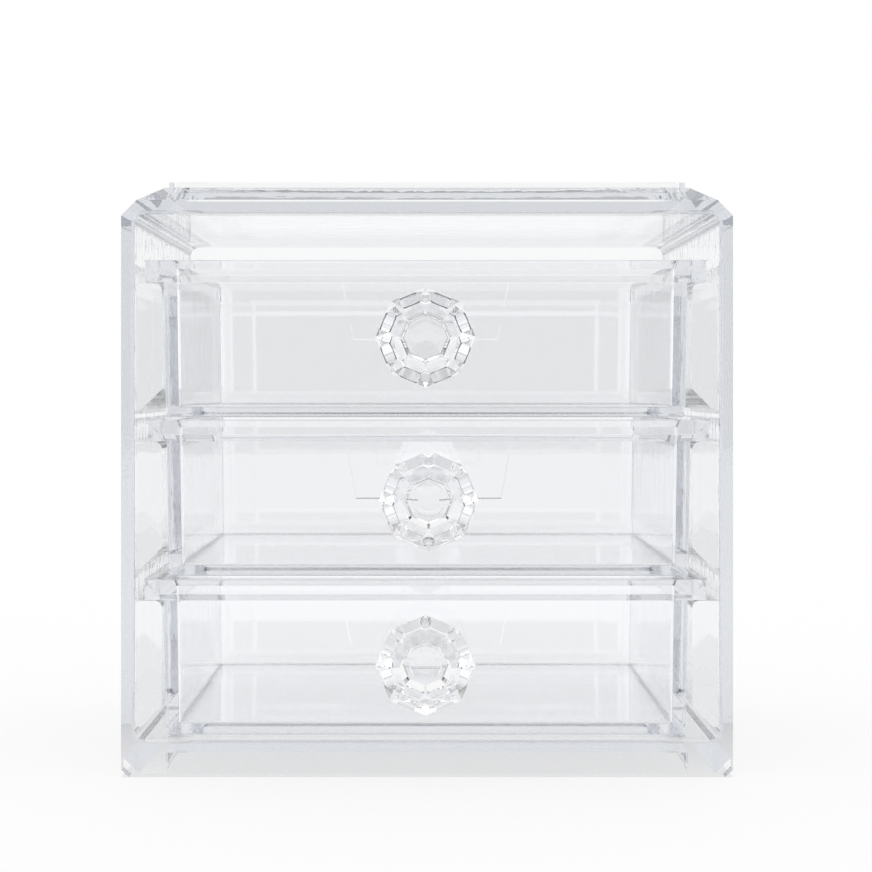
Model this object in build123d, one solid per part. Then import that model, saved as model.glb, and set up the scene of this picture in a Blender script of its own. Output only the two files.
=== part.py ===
from build123d import *
import os

# Clear plastic drawer box with three drawers and faceted knobs.
# Millimetres. +Z is up, the drawers open towards -Y, X runs from left to right.
# The origin is at the middle of the bounding box, on the surface that the box stands on.

os.makedirs("parts", exist_ok=True)

# Case
case_width = 178.0
case_depth = 149.0
wall = 3.8
top_wall = 4.2
floor_wall = 4.6
cavity_radius = 3.0
long_edge_chamfer = 4.6
frame_depth = 8.0
frame_foot_chamfer = 2.2
mouth_edge_radius = 1.0

# Stacking rim on top of the case, and the pocket under it that takes the rim of a box below
rim_height = 5.8
rim_inset = 0.4
rim_slope_width = 7.3
rim_slope_height = 4.2
rim_shoulder = 0.9
rim_wall = 1.5
rim_corner_radius = 1.0
stack_clearance = 0.3
pocket_depth = 6.2

# Drawers
drawer_count = 3
drawer_height = 45.9
drawer_gap = 0.6
top_drawer_gap = 13.3
floor_gap = 0.8
drawer_side_draft = 0.7
drawer_wall = 3.6
drawer_floor = 2.9
drawer_front_radius = 1.2
drawer_back_radius = 5.0
inner_front_radius = 1.2
inner_back_radius = 4.0
inner_floor_radius = 0.7
scoop_radius = 4.8
drawer_foot_radius = 1.0
inner_slope_drop = 2.3
inner_slope_reach = 0.9
drawer_back_gap = 0.6
drawer_side_offset = 0.45

# Rim of a drawer: a bar along each side that runs on the case, and a bevelled bar across the front
rail_width = 5.2
rail_height = 6.4
rail_wall_gap = 3.1
front_bar_depth = 3.0
front_bar_face = 4.4
front_bar_recess = 1.0
bar_edge_radius = 0.4

# Raised land that the mould leaves on a drawer's front, down to the level of the knob's axis
land_top_width = 49.0
land_bottom_width = 42.0
land_thickness = 0.15
land_edge_width = 0.35

# Runners on the side walls of the case
runner_edge_radius = 2.0
runner_side_gap = 0.8
running_gap = 0.25
runner_over_gap = 1.4
runner_front_gap = 0.4

# Knob
knob_drop = 22.9
knob_sides = 8
knob_radius = 14.2
knob_table_radius = 7.4
knob_back_radius = 6.2
knob_crown = 6.2
knob_girdle = 1.6
knob_pavilion = 8.0
stem_radius = 4.8
stem_length = 10.0
spigot_radius = 3.0
spigot_depth = 1.4
parting_ridge = 0.07
parting_ridge_width = 0.16

# Fits
bond_gap = 0.03

# Worked out from the sizes above
knob_length = stem_length + knob_pavilion + knob_girdle + knob_crown + parting_ridge
front_wall_setback = front_bar_recess + front_bar_depth
knob_reach = knob_length - front_wall_setback
case_front_y = (knob_reach - case_depth) / 2
case_back_y = case_front_y + case_depth
case_middle_y = (case_front_y + case_back_y) / 2
back_wall_y = case_back_y - wall
half_case = case_width / 2
half_cavity = half_case - wall
floor_top = pocket_depth + floor_wall
drawer_pitch = drawer_height + drawer_gap
top_drawer_z = floor_top + floor_gap + drawer_height + (drawer_count - 1) * drawer_pitch
ceiling_z = top_drawer_z + top_drawer_gap
case_height = ceiling_z + top_wall
front_wall_y = case_front_y + front_wall_setback
drawer_back_y = back_wall_y - drawer_back_gap
drawer_length = drawer_back_y - front_wall_y
drawer_middle_y = (front_wall_y + drawer_back_y) / 2
half_rim = half_cavity - rail_wall_gap
half_bin = half_rim - rail_width
front_bar_bevel = rail_height - front_bar_face
half_land_top = land_top_width / 2
half_land_bottom = land_bottom_width / 2
crest_half_width = half_case - long_edge_chamfer - rim_slope_width - rim_shoulder
crest_depth = case_depth - 2 * (rim_inset + rim_slope_width + rim_shoulder)
slack = 1.0


def face_across(points, y):
    """Flat face in a plane square to Y, from points of (x, z)."""
    plane = Plane(origin=(0, y, 0), x_dir=(1, 0, 0), z_dir=(0, -1, 0))
    return plane * make_face(Polyline(*points, close=True))


def bar_along_y(points, y, length):
    """Bar with a section of (x, z) points that runs from y towards +Y."""
    return extrude(face_across(points, y), amount=-length)


def rectangle_at(width, depth, y, z, radius):
    """Rounded rectangle that lies flat at height z, with its middle at y."""
    return Pos(0, y, z) * RectangleRounded(width, depth, radius)


def chamfered_outline(top_cut, foot_cut):
    """Outline of the case seen from the front, with cut corners."""
    return [
        (-half_case + foot_cut, 0),
        (half_case - foot_cut, 0),
        (half_case, foot_cut),
        (half_case, case_height - top_cut),
        (half_case - top_cut, case_height),
        (-half_case + top_cut, case_height),
        (-half_case, case_height - top_cut),
        (-half_case, foot_cut),
    ]


def stacking_rim():
    """Hipped slope, shoulder and upright crest that stand on top of the case."""
    foot_width = 2 * (half_case - long_edge_chamfer)
    foot_depth = case_depth - 2 * rim_inset
    shoulder_width = foot_width - 2 * rim_slope_width
    shoulder_depth = foot_depth - 2 * rim_slope_width
    shoulder_z = case_height + rim_slope_height
    foot = Pos(0, case_middle_y, case_height) * Rectangle(foot_width, foot_depth)
    shoulder = Pos(0, case_middle_y, shoulder_z) * Rectangle(shoulder_width, shoulder_depth)
    hip = loft([foot.face(), shoulder.face()], ruled=True)
    crest_width = 2 * crest_half_width
    crest = rectangle_at(crest_width, crest_depth, case_middle_y, case_height, rim_corner_radius)
    tray_width = crest_width - 2 * rim_wall
    tray_depth = crest_depth - 2 * rim_wall
    tray = rectangle_at(tray_width, tray_depth, case_middle_y, case_height, rim_corner_radius)
    return hip + extrude(crest, amount=rim_height) - extrude(tray, amount=rim_height + slack)


def stacking_pocket():
    """Space under the floor for the crest of a box below."""
    width = 2 * (crest_half_width + stack_clearance)
    depth = crest_depth + 2 * stack_clearance
    mouth = rectangle_at(width, depth, case_middle_y, -slack, rim_corner_radius)
    return extrude(mouth, amount=pocket_depth + slack)


def case_cavity():
    """Space for the drawers, open at the front."""
    height = ceiling_z - floor_top
    plane = Plane(
        origin=(0, case_front_y - slack, floor_top + height / 2), x_dir=(1, 0, 0), z_dir=(0, -1, 0)
    )
    opening = plane * RectangleRounded(2 * half_cavity, height, cavity_radius)
    return extrude(opening, amount=-(back_wall_y - case_front_y + slack))


def case_shell():
    """Outer box of the case, in one piece with its rim and foot."""
    frame = bar_along_y(
        chamfered_outline(long_edge_chamfer, frame_foot_chamfer), case_front_y, frame_depth
    )
    sleeve = bar_along_y(
        chamfered_outline(long_edge_chamfer, long_edge_chamfer),
        case_front_y + frame_depth,
        case_depth - frame_depth,
    )
    shell = frame + sleeve + stacking_rim() - case_cavity() - stacking_pocket()
    mouth = shell.faces().sort_by(Axis.Y)[0].inner_wires()[0]
    return fillet(mouth.edges(), mouth_edge_radius)


def runner(side, rim_top):
    """Solid ledge on a side wall of the case, under the rim of one drawer. side is -1 or 1."""
    outer_x = half_cavity - bond_gap
    inner_x = half_bin + runner_side_gap
    reach = outer_x - inner_x
    top = rim_top - rail_height - running_gap
    low = rim_top - drawer_pitch + runner_over_gap
    toe = cavity_radius / 2
    section = [
        (side * outer_x, top),
        (side * inner_x, top),
        (side * inner_x, low + reach),
        (side * (outer_x - toe), low + toe),
        (side * outer_x, low + toe),
    ]
    start = front_wall_y + runner_front_gap
    length = back_wall_y - bond_gap - start
    block = bar_along_y(section, start, length)
    inner_top = block.edges().filter_by(Axis.Y).sort_by_distance((side * inner_x, start, top))[0]
    return fillet(inner_top, runner_edge_radius)


def bin_width(rise):
    """Outside width of a drawer's bin at a height above its foot."""
    return 2 * (half_bin - drawer_side_draft * (1 - rise / drawer_height))


def bin_outline(inset, foot, rise, front_radius, back_radius):
    """Outline of a drawer's bin at a height above its foot, moved inwards by inset."""
    outline = Rectangle(bin_width(rise) - 2 * inset, drawer_length - 2 * inset)
    outline = fillet(outline.vertices().group_by(Axis.Y)[-1], back_radius)
    outline = fillet(outline.vertices().group_by(Axis.Y)[0], front_radius)
    return (Pos(0, drawer_middle_y, foot + rise) * outline).face()


def outside_outline(foot, rise):
    """Outside of a drawer's bin at a height above its foot."""
    return bin_outline(0, foot, rise, drawer_front_radius, drawer_back_radius)


def inside_outline(foot, rise, growth):
    """Inside of a drawer's bin at a height above its foot, moved outwards by growth."""
    return bin_outline(drawer_wall - growth, foot, rise, inner_front_radius, inner_back_radius)


def bin_outside(foot):
    """Block of a drawer's bin, with sides that draw in towards the floor."""
    block = loft([outside_outline(foot, 0), outside_outline(foot, drawer_height)], ruled=True)
    return fillet(block.edges().group_by(Axis.Z)[0], drawer_foot_radius)


def scooped_block(low, high):
    """Block with a rounded edge where the inside of a drawer's back wall meets its floor."""
    back = drawer_back_y - drawer_wall
    outline = Polyline(
        (front_wall_y, low), (back, low), (back, high), (front_wall_y, high), close=True
    )
    section = Plane.YZ * make_face(outline)
    foot_of_back_wall = section.vertices().group_by(Axis.Z)[0].sort_by(Axis.Y)[-1]
    return extrude(fillet(foot_of_back_wall, scoop_radius), amount=half_case, both=True)


def bin_inside(foot):
    """Space in a drawer, with a scoop at the foot of its back wall and a slope inside the rim."""
    top = drawer_height + slack
    space = loft([inside_outline(foot, drawer_floor, 0), inside_outline(foot, top, 0)], ruled=True)
    space = fillet(space.edges().group_by(Axis.Z)[0], inner_floor_radius)
    space = space & scooped_block(foot + drawer_floor, foot + top + slack)
    slope_foot = drawer_height - inner_slope_drop
    reach = inner_slope_reach * (inner_slope_drop + slack) / inner_slope_drop
    slope = [inside_outline(foot, slope_foot, 0), inside_outline(foot, top, reach)]
    return space + loft(slope, ruled=True)


def side_bars(rim_top):
    """Bars along both sides of a drawer's rim, which run on the case."""
    inner_x = half_bin - drawer_wall / 2
    bars = []
    for side in (-1, 1):
        section = [
            (side * inner_x, rim_top - rail_height),
            (side * half_rim, rim_top - rail_height),
            (side * half_rim, rim_top),
            (side * inner_x, rim_top),
        ]
        bars.append(bar_along_y(section, front_wall_y, drawer_length))
    return bars


def front_bar(rim_top):
    """Bevelled bar across a drawer's front, with ends cut on the slant."""
    front = front_wall_y - front_bar_depth
    bevel_start = rim_top - front_bar_face
    bevel_end = bevel_start - front_bar_bevel
    into_wall = front_wall_y + drawer_wall / 2
    section = Plane.YZ * make_face(
        Polyline(
            (into_wall, rim_top),
            (front, rim_top),
            (front, bevel_start),
            (front + front_bar_bevel, bevel_end),
            (into_wall, bevel_end),
            close=True,
        )
    )
    face_corners = section.vertices().group_by(Axis.Y)[0]
    section = fillet(face_corners, bar_edge_radius)
    bar = extrude(section, amount=half_rim, both=True)
    ends = [
        (-half_rim, rim_top),
        (half_rim, rim_top),
        (half_bin, bevel_end),
        (-half_bin, bevel_end),
    ]
    return bar & bar_along_y(ends, front - slack, front_bar_depth + drawer_wall + 2 * slack)


def land_outline(rim_top, growth):
    """Outline of the raised land, moved outwards by growth at the sides and the foot."""
    top = rim_top - front_bar_face
    foot = rim_top - knob_drop - growth
    return [
        (-half_land_top - growth, top),
        (half_land_top + growth, top),
        (half_land_bottom + growth, foot),
        (-half_land_bottom - growth, foot),
    ]


def front_land(rim_top):
    """Thin raised land on a drawer's front, from the front bar to the level of the knob's axis."""
    face = face_across(land_outline(rim_top, 0), front_wall_y - land_thickness)
    foot_outline = land_outline(rim_top, land_edge_width)
    foot = face_across(foot_outline, front_wall_y)
    root = bar_along_y(foot_outline, front_wall_y, drawer_wall / 2)
    return loft([foot.face(), face.face()], ruled=True) + root


def drawer_tray(rim_top):
    """One drawer: bin, rim bars, front land and the socket for the knob's spigot."""
    foot = rim_top - drawer_height
    solid = bin_outside(foot) + front_bar(rim_top) + front_land(rim_top)
    for bar in side_bars(rim_top):
        solid = solid + bar
    socket_start = front_wall_y - land_thickness - slack
    socket_length = slack + land_thickness + spigot_depth + bond_gap
    socket = round_bar(spigot_radius + bond_gap, socket_start, socket_length, rim_top - knob_drop)
    return solid - bin_inside(foot) - socket


def round_bar(radius, y, length, z):
    """Round bar on the knob's axis, from y towards +Y."""
    plane = Plane(origin=(0, y, z), x_dir=(1, 0, 0), z_dir=(0, 1, 0))
    return extrude(plane * Circle(radius), amount=length)


def facet_ring(radius, y, z):
    """Regular outline of the knob in a plane square to Y, with a corner at the top."""
    plane = Plane(origin=(0, y, z), x_dir=(1, 0, 0), z_dir=(0, -1, 0))
    return (plane * RegularPolygon(radius, knob_sides)).face()


def faceted_head(back_y, z, growth):
    """Cut-stone head of the knob, from its back at back_y to its table. growth thickens it all over."""
    girdle_back = back_y - knob_pavilion
    girdle_front = girdle_back - knob_girdle
    table_y = girdle_front - knob_crown - growth
    back = facet_ring(knob_back_radius + growth, back_y, z)
    girdle_rear = facet_ring(knob_radius + growth, girdle_back, z)
    girdle_fore = facet_ring(knob_radius + growth, girdle_front, z)
    table = facet_ring(knob_table_radius + growth, table_y, z)
    pavilion = loft([back, girdle_rear], ruled=True)
    girdle = loft([girdle_rear, girdle_fore], ruled=True)
    crown = loft([girdle_fore, table], ruled=True)
    return pavilion + girdle + crown


def knob(rim_top):
    """Faceted head, round stem, and spigot that sits in the drawer's front."""
    z = rim_top - knob_drop
    seat_y = front_wall_y - land_thickness - bond_gap
    head_y = front_wall_y - stem_length
    stem = round_bar(stem_radius, head_y, seat_y - head_y, z)
    spigot = round_bar(spigot_radius, seat_y, front_wall_y + spigot_depth - seat_y, z)
    ridge_slab = Pos(0, head_y - knob_length / 2, z) * Box(
        4 * knob_radius, knob_length, parting_ridge_width
    )
    ridge = faceted_head(head_y, z, parting_ridge) & ridge_slab
    return faceted_head(head_y, z, 0) + ridge + stem + spigot


def save(shape, node):
    """Write one sub-part, which has to be one solid, under its node's name."""
    solids = shape.solids()
    assert len(solids) == 1, f"{node} came out as {len(solids)} solids"
    solids[0].label = node
    export_step(solids[0], os.path.join("parts", node + ".step"))


save(case_shell(), "case_shell")
for number in range(1, drawer_count + 1):
    rim_top = top_drawer_z - (number - 1) * drawer_pitch
    shift = Pos(drawer_side_offset * (-1) ** number, 0, 0)
    save(runner(-1, rim_top), f"runner_left_{number}")
    save(runner(1, rim_top), f"runner_right_{number}")
    save(shift * drawer_tray(rim_top), f"drawer_{number}_tray")
    save(shift * knob(rim_top), f"drawer_{number}_knob")
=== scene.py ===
"""Looks of the clear plastic drawer box, round its CAD model: materials, floor, light and camera."""

import math

import bpy
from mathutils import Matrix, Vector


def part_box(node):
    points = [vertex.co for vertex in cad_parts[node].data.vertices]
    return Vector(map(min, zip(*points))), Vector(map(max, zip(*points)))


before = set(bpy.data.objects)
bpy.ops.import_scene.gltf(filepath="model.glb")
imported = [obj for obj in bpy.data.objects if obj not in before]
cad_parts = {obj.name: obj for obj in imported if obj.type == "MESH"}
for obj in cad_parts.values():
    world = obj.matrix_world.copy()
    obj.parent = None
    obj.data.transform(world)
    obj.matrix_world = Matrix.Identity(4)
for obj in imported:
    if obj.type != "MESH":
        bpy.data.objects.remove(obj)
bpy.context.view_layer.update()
case_low, case_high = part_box("case_shell")

# Camera, worked out from the lines of the photograph that run away from it. Metres and pixels.
PICTURE_PIXELS = 872
FOCAL_PIXELS = 2063
SENSOR_MM = 36
EYE_PIXEL_X = 425
EYE_PIXEL_Y = 388
CAMERA_X = -0.0006
CAMERA_HEIGHT = 0.1132
CAMERA_DISTANCE = 0.600
CLIP_NEAR = 0.01
CLIP_FAR = 50

# Plastic. The absorption, by the metre, is what makes a wall seen from its edge grey.
IOR = 1.54
ABSORPTION_COLOUR = (0.0, 0.08, 0.22, 1)

# Waves in the plastic's surface. In the middle of a piece they have CALM_SHARE of their height, and
# they grow to all of it over the next WAVE_FADE metres.
WAVE_DETAIL = 2.0
WAVE_FADE = 0.006
CALM_SHARE = 0.15

# How often light may bounce, enough for the paths that run along inside a wall
LIGHT_BOUNCES = 64

# Floor. It reflects FLOOR_DIFFUSE of its white and glows with the rest, so that the open floor is
# white. Beneath the box it also carries a painted shadow, set below.
FLOOR_SIZE = 6
FLOOR_DIFFUSE = 0.18
# Share of the floor's light taken away in the outline of the case beneath the box: a painted shadow,
# not cast by the box
PAINTED_SHADE_UNDER_BOX = 0.13

# The studio, as points of (place, brightness), both from 0 to 1. The open background is 1.
# By height, from level to straight up, for light that only came through the box
THROUGH_LIGHT = [(0.0, 1.0), (0.36, 1.0), (0.6, 0.8), (0.85, 0.7), (0.95, 1.0)]
# By height, for light that was reflected on its way
ROOM_ABOVE = [(0.0, 1.0), (0.25, 1.0), (0.42, 0.75), (0.65, 0.65), (0.8, 0.8), (0.88, 1.0)]
# Around the box, from straight behind it at 0 to the camera's side at 1, for reflected light
ROOM_AROUND = [
    (0.0, 0.68), (0.11, 0.68), (0.16, 0.62), (0.22, 0.58), (0.27, 0.8), (0.32, 1.0), (0.44, 1.0),
    (0.48, 0.35), (0.52, 0.8), (0.62, 0.9), (0.67, 0.3), (0.72, 0.8), (0.80, 0.75), (0.84, 0.3),
    (0.88, 1.0), (0.91, 0.9), (0.935, 0.1), (1.0, 0.1),
]
# Brightest part of the room that reflections see
ROOM_STRENGTH = 1.4
# The table as reflections see it, from 1 m before the box at 0 to 1 m behind it at 1
TABLE_LIGHT = [(0.0, 0.6), (0.12, 0.6), (0.2, 0.95), (1.0, 1.0)]


# Small helpers for shader nodes
def fresh_tree(holder):
    """Empty node tree of a material or world."""
    holder.use_nodes = True
    holder.node_tree.nodes.clear()
    return holder.node_tree


def connect(tree, value, socket):
    """Put a number on a socket, or link an output to it."""
    if isinstance(value, (int, float)):
        socket.default_value = value
    else:
        tree.links.new(value, socket)


def maths(tree, operation, *values):
    """Result of a sum on numbers or outputs."""
    node = tree.nodes.new("ShaderNodeMath")
    node.operation = operation
    for socket, value in zip(node.inputs, values):
        connect(tree, value, socket)
    return node.outputs[0]


def blend(tree, share, low, high):
    """low where share is 0 and high where it is 1."""
    node = tree.nodes.new("ShaderNodeMix")
    connect(tree, share, node.inputs["Factor"])
    connect(tree, low, node.inputs["A"])
    connect(tree, high, node.inputs["B"])
    return node.outputs["Result"]


def curve(tree, value, points):
    """Brightness that follows points of (place, brightness), both from 0 to 1."""
    node = tree.nodes.new("ShaderNodeValToRGB")
    node.color_ramp.interpolation = "EASE"
    elements = node.color_ramp.elements
    while len(elements) < len(points):
        elements.new(0.5)
    for element, (place, brightness) in zip(elements, points):
        element.position = place
        element.color = (brightness, brightness, brightness, 1)
    connect(tree, value, node.inputs[0])
    return node.outputs[0]


def bounced(tree):
    """1 on a path that was reflected at least once, and 0 on one that only went through."""
    path = tree.nodes.new("ShaderNodeLightPath")
    return maths(tree, "MINIMUM", path.outputs["Glossy Depth"], 1.0)


def clear_plastic(name, tint, absorption, wave_size, wave_height, calm_half_width):
    """Clear plastic, wavy at the sides and nearly flat within calm_half_width of the middle."""
    material = bpy.data.materials.new(name)
    tree = fresh_tree(material)
    out = tree.nodes.new("ShaderNodeOutputMaterial")
    shader = tree.nodes.new("ShaderNodeBsdfPrincipled")
    shader.inputs["Base Color"].default_value = (*tint, 1)
    shader.inputs["Roughness"].default_value = 0.0
    shader.inputs["IOR"].default_value = IOR
    shader.inputs["Transmission Weight"].default_value = 1.0
    coords = tree.nodes.new("ShaderNodeTexCoord")
    waves = tree.nodes.new("ShaderNodeTexNoise")
    waves.inputs["Scale"].default_value = 1 / wave_size
    waves.inputs["Detail"].default_value = WAVE_DETAIL
    bump = tree.nodes.new("ShaderNodeBump")
    bump.inputs["Strength"].default_value = 1.0
    bump.inputs["Distance"].default_value = wave_height
    tree.links.new(coords.outputs["Object"], waves.inputs["Vector"])
    split = tree.nodes.new("ShaderNodeSeparateXYZ")
    tree.links.new(coords.outputs["Object"], split.inputs[0])
    share = tree.nodes.new("ShaderNodeMapRange")
    share.interpolation_type = "SMOOTHSTEP"
    share.inputs["From Min"].default_value = calm_half_width
    share.inputs["From Max"].default_value = calm_half_width + WAVE_FADE
    share.inputs["To Min"].default_value = CALM_SHARE
    tree.links.new(maths(tree, "ABSOLUTE", split.outputs["X"]), share.inputs["Value"])
    height = maths(tree, "MULTIPLY", waves.outputs["Fac"], share.outputs["Result"])
    tree.links.new(height, bump.inputs["Height"])
    tree.links.new(bump.outputs["Normal"], shader.inputs["Normal"])
    tree.links.new(shader.outputs["BSDF"], out.inputs["Surface"])
    inside = tree.nodes.new("ShaderNodeVolumeAbsorption")
    inside.inputs["Color"].default_value = ABSORPTION_COLOUR
    inside.inputs["Density"].default_value = absorption
    tree.links.new(inside.outputs["Volume"], out.inputs["Volume"])
    return material


case_plastic = clear_plastic(
    "case_plastic", (0.989, 0.993, 1.0),
    absorption=1.8, wave_size=0.006, wave_height=0.00006, calm_half_width=0.082,
)
runner_plastic = clear_plastic(
    "runner_plastic", (0.995, 0.996, 1.0),
    absorption=0.4, wave_size=0.02, wave_height=0.00002, calm_half_width=0.0,
)
drawer_plastic = clear_plastic(
    "drawer_plastic", (0.99, 0.993, 1.0),
    absorption=1.2, wave_size=0.012, wave_height=0.00003, calm_half_width=0.068,
)
knob_plastic = clear_plastic(
    "knob_plastic", (1.0, 1.0, 1.0),
    absorption=0.3, wave_size=0.01, wave_height=0.000005, calm_half_width=0.0,
)

for name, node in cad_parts.items():
    if name.endswith("_knob"):
        chosen = knob_plastic
    elif name.endswith("_tray"):
        chosen = drawer_plastic
    elif name.startswith("runner"):
        chosen = runner_plastic
    else:
        chosen = case_plastic
    node.data.materials.clear()
    node.data.materials.append(chosen)


def studio_world():
    """White background, and a studio of light and dark zones that the plastic reflects and bends."""
    world = bpy.data.worlds.new("studio")
    tree = fresh_tree(world)
    out = tree.nodes.new("ShaderNodeOutputWorld")
    background = tree.nodes.new("ShaderNodeBackground")
    path = tree.nodes.new("ShaderNodeLightPath")
    coords = tree.nodes.new("ShaderNodeTexCoord")
    split = tree.nodes.new("ShaderNodeSeparateXYZ")
    tree.links.new(coords.outputs["Generated"], split.inputs[0])
    rise = split.outputs["Z"]
    straight = curve(tree, rise, THROUGH_LIGHT)
    turn = maths(tree, "ARCTAN2", split.outputs["X"], split.outputs["Y"])
    share = maths(tree, "ABSOLUTE", maths(tree, "MULTIPLY", turn, 1 / math.pi))
    around = curve(tree, share, ROOM_AROUND)
    above = curve(tree, rise, ROOM_ABOVE)
    room = maths(tree, "MULTIPLY", maths(tree, "MULTIPLY", around, above), ROOM_STRENGTH)
    seen = blend(tree, bounced(tree), straight, room)
    seen = maths(tree, "MAXIMUM", seen, path.outputs["Is Camera Ray"])
    seen = maths(tree, "MAXIMUM", seen, maths(tree, "MINIMUM", path.outputs["Diffuse Depth"], 1.0))
    background.inputs["Color"].default_value = (1, 1, 1, 1)
    tree.links.new(seen, background.inputs["Strength"])
    tree.links.new(background.outputs["Background"], out.inputs["Surface"])
    return world


def floor_surface():
    """White table that glows. Its diffuse share shows the faint shadow that the box casts, and a
    painted shadow darkens it in the outline of the case.
    """
    material = bpy.data.materials.new("floor")
    tree = fresh_tree(material)
    out = tree.nodes.new("ShaderNodeOutputMaterial")
    glow = tree.nodes.new("ShaderNodeEmission")
    place = tree.nodes.new("ShaderNodeNewGeometry")
    split = tree.nodes.new("ShaderNodeSeparateXYZ")
    tree.links.new(place.outputs["Position"], split.inputs[0])
    along = maths(tree, "MULTIPLY_ADD", split.outputs["Y"], 0.5, 0.5)
    table = curve(tree, along, TABLE_LIGHT)
    seen = blend(tree, bounced(tree), 1.0, table)
    # Painted shadow: the floor's light is cut by a fixed share inside the outline of the case,
    # whatever light falls there
    across = maths(tree, "LESS_THAN", maths(tree, "ABSOLUTE", split.outputs["X"]), case_high.x)
    behind = maths(tree, "GREATER_THAN", split.outputs["Y"], case_low.y)
    before = maths(tree, "LESS_THAN", split.outputs["Y"], case_high.y)
    under = maths(tree, "MULTIPLY", across, maths(tree, "MULTIPLY", behind, before))
    seen = maths(tree, "MULTIPLY", seen, maths(tree, "MULTIPLY_ADD", under, -PAINTED_SHADE_UNDER_BOX, 1.0))
    glow.inputs["Color"].default_value = (1, 1, 1, 1)
    tree.links.new(maths(tree, "MULTIPLY", seen, 1 - FLOOR_DIFFUSE), glow.inputs["Strength"])
    matt = tree.nodes.new("ShaderNodeBsdfDiffuse")
    tree.links.new(maths(tree, "MULTIPLY", seen, FLOOR_DIFFUSE), matt.inputs["Color"])
    both = tree.nodes.new("ShaderNodeAddShader")
    tree.links.new(glow.outputs["Emission"], both.inputs[0])
    tree.links.new(matt.outputs["BSDF"], both.inputs[1])
    tree.links.new(both.outputs["Shader"], out.inputs["Surface"])
    return material


scene = bpy.context.scene
scene.world = studio_world()
scene.view_settings.view_transform = "Standard"
scene.cycles.max_bounces = LIGHT_BOUNCES
scene.cycles.transmission_bounces = LIGHT_BOUNCES
scene.cycles.glossy_bounces = LIGHT_BOUNCES

bpy.ops.mesh.primitive_plane_add(size=FLOOR_SIZE, location=(0, 0, 0))
floor = bpy.context.object
floor.name = "floor"
floor.data.materials.append(floor_surface())

camera = bpy.data.objects.new("camera", bpy.data.cameras.new("camera"))
scene.collection.objects.link(camera)
scene.camera = camera
camera.data.sensor_width = SENSOR_MM
camera.data.lens = FOCAL_PIXELS / PICTURE_PIXELS * SENSOR_MM
camera.data.shift_x = (PICTURE_PIXELS / 2 - EYE_PIXEL_X) / PICTURE_PIXELS
camera.data.shift_y = (EYE_PIXEL_Y - PICTURE_PIXELS / 2) / PICTURE_PIXELS
camera.data.clip_start = CLIP_NEAR
camera.data.clip_end = CLIP_FAR
camera.location = (CAMERA_X, case_low.y - CAMERA_DISTANCE, CAMERA_HEIGHT)
camera.rotation_euler = (math.radians(90), 0, 0)
